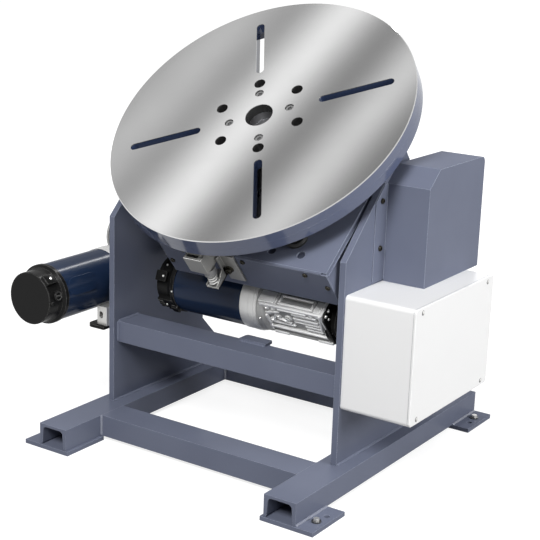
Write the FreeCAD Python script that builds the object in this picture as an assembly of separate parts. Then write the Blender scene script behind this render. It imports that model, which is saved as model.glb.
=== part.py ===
import FreeCAD, Part
import math
import os

from FreeCAD import Vector

os.makedirs("parts", exist_ok=True)

# Welding positioner, millimetres. The origin is on the floor, at the middle of the four anchor holes.
# +X runs to the white box's side, +Y to the rear, +Z up. The tilting unit stands unit_x beside the
# frame's middle, and its x values count from the table's axis.

# Floor frame: channels with the web on top
channel_width = 65.0
channel_height = 42.0
channel_web = 5.5
channel_flange = 7.5
flange_slope = 0.08
root_radius = 7.5
toe_radius = 4.0
foot_thickness = 8.0
rail_length = 686.0
rail_centre_x = 257.5
front_cross_y = -208.5
rear_cross_y = 200.5
frame_top = foot_thickness + channel_height
foot_inner_x = 219.0
foot_outer_x = 326.0
foot_length = 104.0
foot_end_y = rail_length / 2 + 2
anchor_x = 311.0
anchor_y = 276.0
anchor_radius = 5.5
jack_x = 308.0
jack_y = 305.0
jack_radius = 6.0

# Side plates and what they carry
unit_x = -4.0
plate_inner_x = 253.0
plate_thickness = 12.0
plate_outer_x = plate_inner_x + plate_thickness
plate_front_y = -167.0
plate_rear_y = 125.0
plate_top = 570.0
plate_chamfer = 145.0
plate_foot_y = 228.0
beam_centre_y = -121.5
beam_bottom = 171.0
beam_top = beam_bottom + channel_height

# Tilt axis, and the table's frame on it: x across, v along the table's face, w out of its face
tilt_z = 412.0
rest_tilt = 40.0
table_rise = 210.0
table_shift = 102.0
axis_v = -table_shift
axis_w = -table_rise

# Tilt bearings and trunnions
shaft_radius = 15.0
bearing_radius = 31.0
bearing_width = 16.0
spigot_radius = 40.0
running_gap = 0.04
hub_radius = 30.0
wall_gap = 1.0

# Tilting body
body_left_x = -118.0
body_right_x = 246.0
body_front_v = -257.0
body_rear_v = 60.0
wall_thickness = 6.0
top_w = -83.0
top_thickness = 8.0
under_w = top_w - top_thickness
cover_thickness = 3.0
cover_top_w = -87.0
cover_low_w = -171.0
lobe_radius = 50.0

# Table, spindle and their gear
table_radius = 300.0
table_thickness = 20.0
skirt_width = 36.0
skirt_w = -40.0
slot_width = 16.0
slot_start = 116.0
slot_end = 258.0
slot_turn = 28.0
table_bore = 27.0
pattern_radius = 85.5
pattern_hole = 11.0
pattern_turn = 57.7
screw_circle = 59.0
spindle_radius = 30.0
spindle_bearing_radius = 47.5
ring_teeth = 72
pinion_teeth = 21
ring_module = 4.0
ring_low_w = -74.0
gear_face = 24.0
pinion_v = -161.0

# Tilt drive
tilt_teeth = 28
drive_teeth = 17
tilt_module = 3.0
drive_z = 345.0
tilt_gear_x = -236.0
backlash = 0.3

# Gear motors: the same model drives the tilt and the table
motor_radius = 56.0
cap_radius = 58.0
cap_length = 46.0
tube_end = 203.0
flange_length = 36.0
gearbox_length = 147.0
neck_length = 18.0
gearbox_half = 60.0
worm_offset = 63.0
output_in = 50.0
output_radius = 12.5

# Electrical box and folded cover
box_y = (-163.0, 141.0)
box_z = (155.0, 366.0)
box_outer_x = 403.0
lid_depth = 4.0
box_wall = 3.0
guard_outer_x = 350.0
guard_y = (-36.0, 180.0)
guard_top = 576.0
guard_sheet = 2.0

X = Vector(1, 0, 0)
Y = Vector(0, 1, 0)
Z = Vector(0, 0, 1)


# Helpers


def block(x0, x1, y0, y1, z0, z1):
    return Part.makeBox(x1 - x0, y1 - y0, z1 - z0, Vector(x0, y0, z0))


def rod(radius, x, y, z, direction, length):
    return Part.makeCylinder(radius, length, Vector(x, y, z), direction)


def plate_x(points, x0, x1):
    """A flat plate across X, cut to the outline given as (y, z) points."""
    corners = [Vector(x0, y, z) for y, z in points]
    outline = Part.makePolygon(corners + [corners[0]])
    return Part.Face(outline).extrude(Vector(x1 - x0, 0, 0))


def turned(profile):
    """A turned piece about +Z from (radius, height) points."""
    corners = [Vector(radius, 0, height) for radius, height in profile]
    outline = Part.makePolygon(corners + [corners[0]])
    return Part.Face(outline).revolve(Vector(0, 0, 0), Z, 360)


def turned_x(profile):
    """A turned piece about +X from (radius, x) points."""
    shape = turned(profile)
    shape.rotate(Vector(0, 0, 0), Y, 90)
    return shape


def moved(shape, x, y, z):
    result = shape.copy()
    result.translate(Vector(x, y, z))
    return result


def cycled(shape, x, y, z):
    """Turned so that its own X, Y, Z lie along Y, Z, X, then moved."""
    result = shape.copy()
    result.rotate(Vector(0, 0, 0), Vector(1, 1, 1), 120)
    result.translate(Vector(x, y, z))
    return result


def joined(shapes):
    result = shapes[0]
    for shape in shapes[1:]:
        result = result.fuse(shape)
    return result.removeSplitter()


def mirrored(shape):
    return shape.mirror(Vector(0, 0, 0), X)


def fillet_where(shape, radius, test):
    edges = [edge for edge in shape.Edges if test(edge)]
    return shape.makeFillet(radius, edges)


def along(edge, direction):
    if len(edge.Vertexes) != 2:
        return False
    run = edge.Vertexes[1].Point - edge.Vertexes[0].Point
    return run.Length > 0 and abs(abs(run.normalize().dot(direction)) - 1) < 1e-6


def channel(length):
    """A rolled channel along +Y, web on top, flange tips at z = 0, with tapered flanges."""
    half = channel_width / 2
    middle = channel_height / 2
    under = channel_height - channel_web
    tip = half - (channel_flange - flange_slope * middle)
    root = half - (channel_flange + flange_slope * (under - middle))
    points = [(-half, 0), (-half, channel_height), (half, channel_height), (half, 0)]
    points += [(tip, 0), (root, under), (-root, under), (-tip, 0)]
    corners = [Vector(x, 0, z) for x, z in points]
    shape = Part.Face(Part.makePolygon(corners + [corners[0]])).extrude(Vector(0, length, 0))
    roots = lambda edge: along(edge, Y) and abs(edge.CenterOfMass.z - under) < 0.1
    toes = lambda edge: along(edge, Y) and edge.CenterOfMass.z < 0.1 and abs(edge.CenterOfMass.x) < tip + 0.1
    shape = fillet_where(shape, root_radius, roots)
    return fillet_where(shape, toe_radius, toes)


def channel_across(half_length):
    shape = channel(2 * half_length)
    shape.rotate(Vector(0, 0, 0), Z, -90)
    return moved(shape, -half_length, 0, 0)


def involute(angle):
    return math.tan(angle) - angle


def gear_outline(module, teeth, turn):
    """Points of a spur gear's edge. With turn 0 a tooth is centred on +X."""
    pitch = module * teeth / 2
    base = pitch * math.cos(math.radians(20))
    tip = pitch + module
    root = pitch - 1.25 * module
    start = max(root, base)
    half_pitch = math.pi / (2 * teeth) - backlash / (4 * pitch) + involute(math.radians(20))
    radii = [start, (start + pitch) / 2, pitch, (pitch + tip) / 2, tip]
    flank = [(r, half_pitch - involute(math.acos(min(1, base / r)))) for r in radii]
    if root < start:
        flank = [(root, flank[0][1])] + flank
    points = []
    for tooth in range(teeth):
        centre = math.radians(turn) + 2 * math.pi * tooth / teeth
        sides = [(r, centre - half) for r, half in flank]
        sides += [(r, centre + half) for r, half in reversed(flank)]
        points += [Vector(r * math.cos(a), r * math.sin(a), 0) for r, a in sides]
    return points


def gear(module, teeth, face, turn):
    points = gear_outline(module, teeth, turn)
    outline = Part.makePolygon(points + [points[0]])
    return Part.Face(outline).extrude(Vector(0, 0, face))


def in_unit(shape):
    """From the tilting unit's x to the part's frame."""
    return moved(shape, unit_x, 0, 0)


def in_table(shape):
    """From the table's frame, with the origin on its face, to the part's frame at rest."""
    result = shape.copy()
    result.translate(Vector(0, table_shift, table_rise))
    result.rotate(Vector(0, 0, 0), X, rest_tilt)
    result.translate(Vector(unit_x, 0, tilt_z))
    return result


def save(node, shape):
    shape.exportStep("parts/" + node + ".step")


# Rails: two channels front to back, flange tips down on the foot plates
rail = moved(channel(rail_length), 0, -rail_length / 2, foot_thickness)
save("left_rail", moved(rail, -rail_centre_x, 0, 0))
save("right_rail", moved(rail, rail_centre_x, 0, 0))

# Cross members: the same channel, butted between the rails
cross = channel_across(rail_centre_x - channel_width / 2)
save("front_cross_member", moved(cross, 0, front_cross_y, foot_thickness))
save("rear_cross_member", moved(cross, 0, rear_cross_y, foot_thickness))


# Foot plates: flat bar under each rail's end, drilled for the floor anchor and the jack bolt
foot = block(foot_inner_x, foot_outer_x, foot_end_y - foot_length, foot_end_y, 0, foot_thickness)
foot = foot.cut(rod(anchor_radius, anchor_x, anchor_y, -1, Z, foot_thickness + 2))
foot = foot.cut(rod(jack_radius, jack_x, jack_y, -1, Z, foot_thickness + 2))
front_foot = foot.mirror(Vector(0, 0, 0), Y)
save("foot_rear_right", foot)
save("foot_rear_left", mirrored(foot))
save("foot_front_right", front_foot)
save("foot_front_left", mirrored(front_foot))

# Jack bolts: hexagon heads over a washer, screwed into the foot plates
jack_washer = 8.5
jack_washer_thickness = 2.5
jack_head_radius = 5.8
jack_head_height = 4.5
jack_bolts = []
jack_washers = []
for side_x in (-1, 1):
    for side_y in (-1, 1):
        place = Vector(side_x * jack_x, side_y * jack_y, 0)
        corners = []
        for step in range(7):
            turn = math.radians(60 * step)
            corners.append(Vector(jack_head_radius * math.cos(turn), jack_head_radius * math.sin(turn), 0))
        head = Part.Face(Part.makePolygon(corners)).extrude(Vector(0, 0, jack_head_height))
        head.translate(Vector(0, 0, foot_thickness + jack_washer_thickness))
        stem = rod(jack_radius, 0, 0, 0.2, Z, foot_thickness - 0.2)
        neck = rod(jack_head_radius - 1.2, 0, 0, foot_thickness, Z, jack_washer_thickness)
        bolt = joined([stem, neck, head])
        bolt.translate(place)
        jack_bolts.append(bolt)
        washer = rod(jack_washer, 0, 0, foot_thickness, Z, jack_washer_thickness)
        washer = washer.cut(rod(jack_head_radius - 1.2, 0, 0, 0, Z, 30))
        washer.translate(place)
        jack_washers.append(washer)
save("jack_bolts", Part.makeCompound(jack_bolts))
save("jack_washers", Part.makeCompound(jack_washers))

# Side plates: 12 mm plate standing on the rails, bored for the tilt bearings
slope_sum = plate_foot_y + frame_top
plate_points = [(plate_front_y, frame_top), (plate_front_y, plate_top - plate_chamfer)]
plate_points += [(plate_front_y + plate_chamfer, plate_top), (plate_rear_y, plate_top)]
plate_points += [(plate_rear_y, slope_sum - plate_rear_y), (plate_foot_y, frame_top)]
side_plate = plate_x(plate_points, plate_inner_x, plate_outer_x)
side_plate = side_plate.cut(rod(spigot_radius, plate_inner_x - 1, 0, tilt_z, X, plate_thickness + 2))
save("right_side_plate", in_unit(side_plate))
tilt_centres = tilt_module * (tilt_teeth + drive_teeth) / 2
drive_y = -math.sqrt(tilt_centres ** 2 - (tilt_z - drive_z) ** 2)
left_plate = mirrored(side_plate)
left_plate = left_plate.cut(rod(output_radius + 3, -plate_outer_x - 1, drive_y, drive_z, X, plate_thickness + 2))
save("left_side_plate", in_unit(left_plate))

# Mid beam: channel welded between the plates, with a flat stop tab on its top
save("mid_beam", in_unit(moved(channel_across(plate_inner_x), 0, beam_centre_y, beam_bottom)))
tab = block(0, 60, -100, -73, beam_top, beam_top + 5)
tab = fillet_where(tab, 6, lambda edge: along(edge, Z) and edge.CenterOfMass.y > -80)
save("stop_tab", in_unit(tab))

# Bearing housings: rings let into the plates, the left one with a flange inside the frame
flange_radius = 50.0
flange_thickness = 10.0
nose_radius = 33.5
nose_length = 8.0
housing = rod(nose_radius, plate_outer_x, 0, tilt_z, X, nose_length)
housing = housing.fuse(rod(spigot_radius, plate_inner_x, 0, tilt_z, X, plate_thickness))
housing = housing.cut(rod(bearing_radius, plate_inner_x + 3, 0, tilt_z, X, 60))
housing = housing.cut(rod(bearing_radius - 5, plate_inner_x - 1, 0, tilt_z, X, 60))
housing = housing.removeSplitter()
save("right_bearing_housing", in_unit(housing))
inner_housing = rod(flange_radius, -plate_inner_x, 0, tilt_z, X, flange_thickness)
inner_housing = inner_housing.fuse(rod(spigot_radius, -plate_outer_x, 0, tilt_z, X, plate_thickness))
inner_housing = inner_housing.cut(rod(bearing_radius, -plate_outer_x + 3, 0, tilt_z, X, 60))
inner_housing = inner_housing.cut(rod(bearing_radius - 5, -plate_outer_x - 1, 0, tilt_z, X, 60))
inner_housing = inner_housing.removeSplitter()
save("left_bearing_housing", in_unit(inner_housing))


# Ball bearings: outer and inner ring with the shield set back between them
def bearing(bore, outer, width):
    ring = (outer - bore) * 0.28
    points = [(bore, 0), (bore + ring, 0), (bore + ring, 1), (outer - ring, 1), (outer - ring, 0), (outer, 0)]
    points += [(outer, width), (outer - ring, width), (outer - ring, width - 1)]
    points += [(bore + ring, width - 1), (bore + ring, width), (bore, width)]
    return turned(points)


tilt_bearing = bearing(shaft_radius + running_gap, bearing_radius, bearing_width)
tilt_bearing.rotate(Vector(0, 0, 0), Y, 90)
save("right_tilt_bearing", in_unit(moved(tilt_bearing, plate_inner_x + 3, 0, tilt_z)))
save("left_tilt_bearing", in_unit(moved(tilt_bearing, -plate_outer_x + 3, 0, tilt_z)))

# Trunnions: the left one is a long flanged hub, the right one a short flange inside the wall
profile = [(0, -plate_outer_x + 1), (shaft_radius, -plate_outer_x + 1)]
profile += [(shaft_radius, -plate_inner_x + flange_thickness + wall_gap)]
profile += [(hub_radius, -plate_inner_x + flange_thickness + wall_gap)]
profile += [(hub_radius, body_left_x - 12), (lobe_radius, body_left_x - 12)]
profile += [(lobe_radius, body_left_x), (0, body_left_x)]
left_trunnion = turned_x(profile)
save("left_trunnion", in_unit(moved(left_trunnion, 0, 0, tilt_z)))
wall_inner_x = body_right_x - wall_thickness
profile = [(0, wall_inner_x - 12), (lobe_radius, wall_inner_x - 12), (lobe_radius, wall_inner_x)]
profile += [(22, wall_inner_x), (22, plate_inner_x - wall_gap), (shaft_radius, plate_inner_x - wall_gap)]
profile += [(shaft_radius, plate_outer_x + 18), (0, plate_outer_x + 18)]
right_trunnion = turned_x(profile)
save("right_trunnion", in_unit(moved(right_trunnion, 0, 0, tilt_z)))

# Tilt gear on the left hub, and its pinion on the gearbox's shaft through the plate
drive_turn = math.degrees(math.atan2(drive_z - tilt_z, drive_y))
tilt_gear = gear(tilt_module, tilt_teeth, gear_face, drive_turn)
tilt_gear = tilt_gear.cut(rod(hub_radius, 0, 0, -1, Z, gear_face + 2))
save("tilt_gear", in_unit(cycled(tilt_gear, tilt_gear_x, 0, tilt_z)))
tilt_pinion = gear(tilt_module, drive_teeth, gear_face, drive_turn + 180 + 180 / drive_teeth)
shaft_reach = plate_outer_x + 45 + tilt_gear_x
tilt_pinion = tilt_pinion.fuse(rod(output_radius, 0, 0, -shaft_reach, Z, shaft_reach))
save("tilt_pinion", in_unit(cycled(tilt_pinion, tilt_gear_x, drive_y, drive_z)))


# Gear motor in its own frame: motor axis along +X from the cap's end, output shaft along +Z
def motor_cap():
    face = cap_radius - 7.5
    return turned_x([(0, 0), (face - 1, 0), (face, 1), (face, 26), (face + 2, 34), (cap_radius, 38)]
                    + [(cap_radius, cap_length), (0, cap_length)])


def motor_tube():
    return rod(motor_radius, cap_length, 0, 0, X, tube_end - cap_length)


def motor_flange(length):
    start = tube_end
    end = tube_end + length
    ring = [(0, start), (57.5, start), (57.5, start + 18), (cap_radius, start + 20), (cap_radius, start + 29)]
    ring += [(motor_radius, start + 31), (motor_radius, end), (0, end)]
    return turned_x(ring)


def gearbox(length):
    """Round neck on the motor's flange, then the worm's box with the flatter worm wheel housing above it."""
    start = tube_end + length
    end = start + gearbox_length
    low = -gearbox_half
    top = gearbox_half
    front = -gearbox_half + 2
    rear = worm_offset + 45
    points = [(front, low + 48), (front + 34, low + 2), (worm_offset - 29, low + 2)]
    points += [(worm_offset - 11, low + 18), (rear - 12, low + 18), (rear, low + 30), (rear, top)]
    points += [(front + 24, top), (front, top - 26)]
    shape = plate_x(points, start + neck_length, end)
    shape = shape.cut(block(start + 32, end - 22, front + 30, front + 46, top - 7, top + 1))
    for level in (-8, 2, 12, 22):
        shape = shape.cut(block(start + 34, end - 16, front - 1, front + 6, level, level + 5))
    for level in (front + 40, front + 54, front + 68, front + 82):
        shape = shape.cut(block(start + 12, end - 12, level, level + 6, low - 1, low + 8))
    shape = shape.fuse(rod(motor_radius - 2, start, 0, 0, X, neck_length + 1))
    output_x = start + output_in
    return shape.cut(rod(output_radius + running_gap, output_x, worm_offset, top - 50, Z, 60))


def end_cover(length):
    start = tube_end + length + gearbox_length
    return turned_x([(0, start), (50, start), (50, start + 8), (44, start + 10), (44, start + 19)]
                    + [(38, start + 25), (0, start + 25)])


# Tilt drive: the motor lies along the left plate's outer face, worm wheel shaft through the plate
tilt_cap_y = -320.0
tilt_flange = drive_y - output_in - tube_end - tilt_cap_y
tilt_motor_x = -plate_outer_x - gearbox_half - 5
tilt_motor_z = drive_z - worm_offset


def as_tilt_motor(shape):
    return in_unit(cycled(shape, tilt_motor_x, tilt_cap_y, tilt_motor_z))


save("tilt_motor_cap", as_tilt_motor(motor_cap()))
save("tilt_motor_tube", as_tilt_motor(motor_tube()))
save("tilt_motor_flange", as_tilt_motor(motor_flange(tilt_flange)))
save("tilt_gearbox", as_tilt_motor(gearbox(tilt_flange)))
save("tilt_end_cover", as_tilt_motor(end_cover(tilt_flange)))
seat_plate = block(-plate_outer_x - 5, -plate_outer_x, drive_y - 45, drive_y + 45, 250, 385)
seat_plate = seat_plate.cut(rod(output_radius + 3, -plate_outer_x - 10, drive_y, drive_z, X, 20))
save("tilt_gearbox_seat", in_unit(seat_plate))

# Earth terminal outside the left plate: steel block with a slotted hole on a round-ended plate
terminal_outer = -plate_outer_x - 24
terminal = block(terminal_outer, -plate_outer_x, -175, -135, 205, 243)
slot = rod(4.5, terminal_outer + 10, -176, 223, Y, 42)
slot = slot.fuse(rod(4.5, terminal_outer + 10, -176, 228, Y, 42))
slot = slot.fuse(block(terminal_outer + 5.5, terminal_outer + 14.5, -176, -134, 223, 228))
terminal = terminal.cut(slot)
terminal = fillet_where(terminal, 2, lambda edge: along(edge, Y) and edge.CenterOfMass.x < terminal_outer + 0.1)
save("earth_terminal", in_unit(terminal))
rest_plate = block(-plate_outer_x - 44, -plate_outer_x, -184, -130, 199, 205)
rest_plate = fillet_where(rest_plate, 14, lambda edge: along(edge, Z) and edge.CenterOfMass.x < -plate_outer_x - 20)
save("earth_plate", in_unit(rest_plate))

# Electrical box on the right plate: moulded shell with a flat screwed lid
outer = block(plate_outer_x, box_outer_x - lid_depth, box_y[0], box_y[1], box_z[0], box_z[1])
outer = fillet_where(outer, 8, lambda edge: along(edge, X))
inner = block(plate_outer_x + box_wall, box_outer_x, box_y[0] + box_wall, box_y[1] - box_wall,
              box_z[0] + box_wall, box_z[1] - box_wall)
inner = fillet_where(inner, 5, lambda edge: along(edge, X))
save("electrical_box", in_unit(outer.cut(inner)))
lid = block(box_outer_x - lid_depth, box_outer_x, box_y[0], box_y[1], box_z[0], box_z[1])
lid = fillet_where(lid, 8, lambda edge: along(edge, X))
lid = fillet_where(lid, 1.2, lambda edge: abs(edge.CenterOfMass.x - box_outer_x) < 0.1)
save("box_lid", in_unit(lid))


# Folded sheet cover over the right bearing, with a flange screwed to the plate
def guard_outline(inset):
    y0 = guard_y[0] + inset
    y1 = guard_y[1] - inset
    top = guard_top - inset
    cut = inset * 0.41
    return [(y0, box_z[1]), (y0, 545 - cut), (y0 + 36 - inset + cut, top), (y1, top), (y1, box_z[1])]


guard = plate_x(guard_outline(0), plate_outer_x, guard_outer_x)
rear_top = lambda edge: along(edge, X) and edge.CenterOfMass.z > 560 and edge.CenterOfMass.y > 100
guard = fillet_where(guard, 12, rear_top)
space = plate_x(guard_outline(guard_sheet), plate_outer_x - 1, guard_outer_x - guard_sheet)
space = fillet_where(space, 12 - guard_sheet, rear_top)
guard = guard.cut(space)
guard = guard.cut(block(plate_outer_x - 1, guard_outer_x - guard_sheet, guard_y[0] + guard_sheet,
                        guard_y[1] - guard_sheet, box_z[1] - 1, box_z[1] + 20))
flap = plate_x([(-75, box_z[1] + 4), (-75, 516), (-46, 545), (guard_y[0], 545), (guard_y[0], box_z[1] + 4)],
               plate_outer_x, plate_outer_x + guard_sheet)
closing = plate_x([(plate_rear_y, box_z[1]), (plate_rear_y, guard_top - 3), (guard_y[1] - 14, guard_top - 3),
                   (guard_y[1] - 3, guard_top - 14), (guard_y[1] - 1, box_z[1])],
                  plate_outer_x, plate_outer_x + guard_sheet)
save("bearing_cover", in_unit(joined([guard, flap, closing])))

# Tilting body, in the table's frame: welded box of top plate, two walls and a rear wall
pinion_centres = ring_module * (ring_teeth + pinion_teeth) / 2
pinion_x = math.sqrt(pinion_centres ** 2 - pinion_v ** 2)
top_plate = block(body_left_x, body_right_x, body_front_v, body_rear_v, under_w, top_w)
top_plate = top_plate.cut(rod(spindle_bearing_radius, 0, 0, under_w - 1, Z, 20))
top_plate = top_plate.cut(rod(output_radius + 3, pinion_x, pinion_v, under_w - 1, Z, 20))
top_plate = top_plate.cut(rod(8, 181, -230, under_w - 1, Z, 20))
top_plate = top_plate.cut(rod(8, 121, -232, under_w - 1, Z, 20))
top_plate = top_plate.cut(rod(12, 157, -200, under_w - 1, Z, 20))
save("body_top_plate", in_table(top_plate))


def body_wall(x0, x1):
    upper = plate_x([(body_front_v, under_w), (body_front_v, cover_low_w), (axis_v - lobe_radius, cover_low_w)]
                    + [(axis_v - lobe_radius, axis_w), (axis_v + lobe_radius, axis_w)]
                    + [(body_rear_v - wall_thickness, -140), (body_rear_v - wall_thickness, under_w)], x0, x1)
    return joined([upper, rod(lobe_radius, x0, axis_v, axis_w, X, x1 - x0)])


save("body_left_wall", in_table(body_wall(body_left_x, body_left_x + wall_thickness)))
right_wall = body_wall(wall_inner_x, body_right_x)
right_wall = right_wall.cut(rod(22, wall_inner_x - 1, axis_v, axis_w, X, 20))
save("body_right_wall", in_table(right_wall))
rear_wall = block(body_left_x, body_right_x, body_rear_v - wall_thickness, body_rear_v, -140, under_w)
save("body_rear_wall", in_table(rear_wall))

# Front cover: flat sheet screwed over the open front
front_cover = block(body_left_x, body_right_x, body_front_v - cover_thickness, body_front_v, cover_low_w, cover_top_w)
save("front_cover", in_table(front_cover))

# Cable grommet in the top plate
grommet = turned([(9, -8), (12, -8), (12, 0), (20, 0), (20, 5), (17, 8), (12, 8), (9, 5)])
save("cable_grommet", in_table(moved(grommet, 157, -200, top_w)))

# Spindle housing under the top plate, with two bearings
profile = [(53, under_w), (53, -190)]
profile += [(spindle_bearing_radius, -190), (spindle_bearing_radius, -169), (43, -169), (43, -114)]
profile += [(spindle_bearing_radius, -114), (spindle_bearing_radius, under_w)]
save("spindle_housing", in_table(turned(profile)))
spindle_bearing = bearing(spindle_radius + running_gap, spindle_bearing_radius, 18)
save("upper_spindle_bearing", in_table(moved(spindle_bearing, 0, 0, -113)))
save("lower_spindle_bearing", in_table(moved(spindle_bearing, 0, 0, -188)))

# Spindle: turned flange with the table's centring bore, shaft through both bearings, nut below
profile = [(0, -37), (table_bore, -37), (table_bore, -20), (72, -20), (72, -44), (38, -44)]
profile += [(38, -94), (spindle_radius, -94), (spindle_radius, -206), (0, -206)]
save("spindle", in_table(turned(profile)))
nut = turned([(spindle_radius, -203), (44, -203), (46, -201), (46, -191), (44, -189), (spindle_radius, -189)])
for step in range(4):
    notch = block(40, 50, -4, 4, -204, -188)
    notch.rotate(Vector(0, 0, 0), Z, 90 * step)
    nut = nut.cut(notch)
save("spindle_nut", in_table(nut))

# Ring gear under the spindle flange, and the pinion on the gearbox's shaft
pinion_turn = math.degrees(math.atan2(pinion_v, pinion_x))
ring_gear = gear(ring_module, ring_teeth, gear_face, pinion_turn)
ring_gear = ring_gear.fuse(rod(60, 0, 0, gear_face, Z, -44 - ring_low_w - gear_face))
ring_gear = ring_gear.cut(rod(38, 0, 0, -1, Z, 60))
for step in range(6):
    turn = math.radians(60 * step + 27.7)
    ring_gear = ring_gear.cut(rod(19, 97 * math.cos(turn), 97 * math.sin(turn), -1, Z, 60))
save("ring_gear", in_table(moved(ring_gear, 0, 0, ring_low_w)))
pinion = gear(ring_module, pinion_teeth, gear_face, pinion_turn + 180 + 180 / pinion_teeth)
shaft_drop = 180.0
pinion = pinion.fuse(rod(output_radius, 0, 0, -shaft_drop, Z, shaft_drop))
save("table_pinion", in_table(moved(pinion, pinion_x, pinion_v, ring_low_w)))
collar = turned([(output_radius + running_gap, 0), (30, 0), (30, -14), (output_radius + running_gap, -14)])
save("pinion_bearing", in_table(moved(collar, pinion_x, pinion_v, under_w)))

# Rotation gear motor, hung under the body on a plate and four pillars
rotation_motor_x = pinion_x - (tube_end + flange_length + output_in)
rotation_motor_v = pinion_v - worm_offset
rotation_motor_w = -268.0


def as_rotation_motor(shape):
    return in_table(moved(shape, rotation_motor_x, rotation_motor_v, rotation_motor_w))


save("rotation_motor_cap", as_rotation_motor(motor_cap()))
save("rotation_motor_tube", as_rotation_motor(motor_tube()))
save("rotation_motor_flange", as_rotation_motor(motor_flange(flange_length)))
save("rotation_gearbox", as_rotation_motor(gearbox(flange_length)))
save("rotation_end_cover", as_rotation_motor(end_cover(flange_length)))
mount_low = rotation_motor_w + gearbox_half
mount = block(pinion_x - 60, pinion_x + 60, pinion_v - 68, pinion_v + 62, mount_low, mount_low + 10)
mount = mount.cut(rod(output_radius + 3, pinion_x, pinion_v, mount_low - 1, Z, 20))
save("gearbox_mount_plate", in_table(mount))
pillars = []
for side_x in (-1, 1):
    for side_v in (-1, 1):
        pillars.append(rod(9, pinion_x + side_x * 46, pinion_v - 3 + side_v * 53, mount_low + 10, Z,
                           under_w - mount_low - 10))
save("mount_pillars", in_table(Part.makeCompound(pillars)))

# Table: round plate with four slots, six holes and a bore, and a skirt ring welded under its edge
table = turned([(table_bore, -table_thickness), (table_radius, -table_thickness), (table_radius, -1.5)]
               + [(table_radius - 1.5, 0), (table_bore, 0)])
for step in range(4):
    cutter = block(slot_start + slot_width / 2, slot_end - slot_width / 2, -slot_width / 2, slot_width / 2, -30, 10)
    cutter = cutter.fuse(rod(slot_width / 2, slot_start + slot_width / 2, 0, -30, Z, 40))
    cutter = cutter.fuse(rod(slot_width / 2, slot_end - slot_width / 2, 0, -30, Z, 40))
    cutter.rotate(Vector(0, 0, 0), Z, slot_turn + 90 * step)
    table = table.cut(cutter)
for step in range(6):
    turn = math.radians(pattern_turn + 60 * step)
    table = table.cut(rod(pattern_hole, pattern_radius * math.cos(turn), pattern_radius * math.sin(turn), -30, Z, 40))
table_screws = []
for step in range(4):
    turn = math.radians(slot_turn + 90 * step)
    x = screw_circle * math.cos(turn)
    v = screw_circle * math.sin(turn)
    table = table.cut(rod(8.6, x, v, -12, Z, 20))
    table = table.cut(rod(5, x, v, -30, Z, 30))
    screw = joined([rod(8, x, v, -12, Z, 9), rod(5, x, v, -table_thickness, Z, table_thickness - 12)])
    screw = screw.cut(rod(4, x, v, -7, Z, 10))
    table_screws.append(screw)
save("table_plate", in_table(table))
save("table_screws", in_table(Part.makeCompound(table_screws)))
skirt_inner = table_radius - skirt_width
skirt = turned([(skirt_inner, skirt_w), (table_radius - 1.5, skirt_w), (table_radius, skirt_w + 1.5)]
               + [(table_radius, -table_thickness), (skirt_inner, -table_thickness)])
save("table_skirt", in_table(skirt))

# Earthing brush: a sprung block that presses the skirt's underside, on a bracket on the front cover
cover_v = body_front_v - cover_thickness
bracket = block(8, 54, cover_v - 4, cover_v, -152, top_w)
arm = block(20, 26, -299, cover_v - 4, -145, -88)
base = block(-8, 26, -299, cover_v - 4, -151, -145)
save("brush_bracket", in_table(joined([bracket, arm, base])))
brush = block(-21, 18, -302, cover_v - 5, -94, -56)
shoe = block(-18, 14, -292, -267, -56, skirt_w - 0.3)
brush = joined([brush, shoe])
brush = brush.cut(rod(9, 6, -288, -95, Z, 20))
save("brush_block", in_table(brush))
spring = turned([(4.5, -145), (7.5, -145), (7.5, -82), (4.5, -82)])
save("brush_spring", in_table(moved(spring, 6, -288, 0)))
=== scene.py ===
import math

import bmesh
import bpy
import numpy as np
from mathutils import Matrix, Vector


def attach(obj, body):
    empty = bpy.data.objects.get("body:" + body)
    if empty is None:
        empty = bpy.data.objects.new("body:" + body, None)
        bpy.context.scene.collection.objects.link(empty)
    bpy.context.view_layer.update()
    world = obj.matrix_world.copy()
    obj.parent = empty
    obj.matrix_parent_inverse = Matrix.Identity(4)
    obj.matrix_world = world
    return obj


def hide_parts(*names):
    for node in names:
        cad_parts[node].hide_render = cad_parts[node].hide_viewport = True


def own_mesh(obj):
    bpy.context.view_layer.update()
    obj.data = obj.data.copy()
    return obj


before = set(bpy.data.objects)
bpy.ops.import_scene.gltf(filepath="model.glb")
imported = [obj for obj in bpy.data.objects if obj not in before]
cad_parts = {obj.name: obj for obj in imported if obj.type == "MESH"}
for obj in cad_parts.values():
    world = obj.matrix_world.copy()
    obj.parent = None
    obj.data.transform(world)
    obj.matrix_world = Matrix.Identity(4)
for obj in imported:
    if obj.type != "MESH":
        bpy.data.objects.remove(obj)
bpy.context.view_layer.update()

# Floor rails, cross members and foot plates.
# Rolled 65 mm channels, sawn, welded with fillet beads and sprayed with blue-grey enamel; flat bar feet
# under the ends. The same enamel covers the side plates, the mid beam, the covers and the tilting body.
enamel_colour = (0.137, 0.152, 0.207)
mm = 0.001
part_axes = (np.zeros(3), np.eye(3))


def shader_group(name, inputs, outputs):
    """An empty shader node group with named inputs (name, kind, start value) and outputs."""
    group = bpy.data.node_groups.new(name, "ShaderNodeTree")
    for label, kind, start in inputs:
        socket = group.interface.new_socket(label, in_out="INPUT", socket_type=kind)
        socket.default_value = start
    for label, kind in outputs:
        group.interface.new_socket(label, in_out="OUTPUT", socket_type=kind)
    return group, group.nodes.new("NodeGroupInput"), group.nodes.new("NodeGroupOutput")


def feed(links, value, socket):
    """Link another node's socket in, or set a plain number, vector or colour."""
    if isinstance(value, bpy.types.NodeSocket):
        links.new(value, socket)
    elif socket.type == "RGBA":
        socket.default_value = (*value, 1.0)
    else:
        socket.default_value = value


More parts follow.
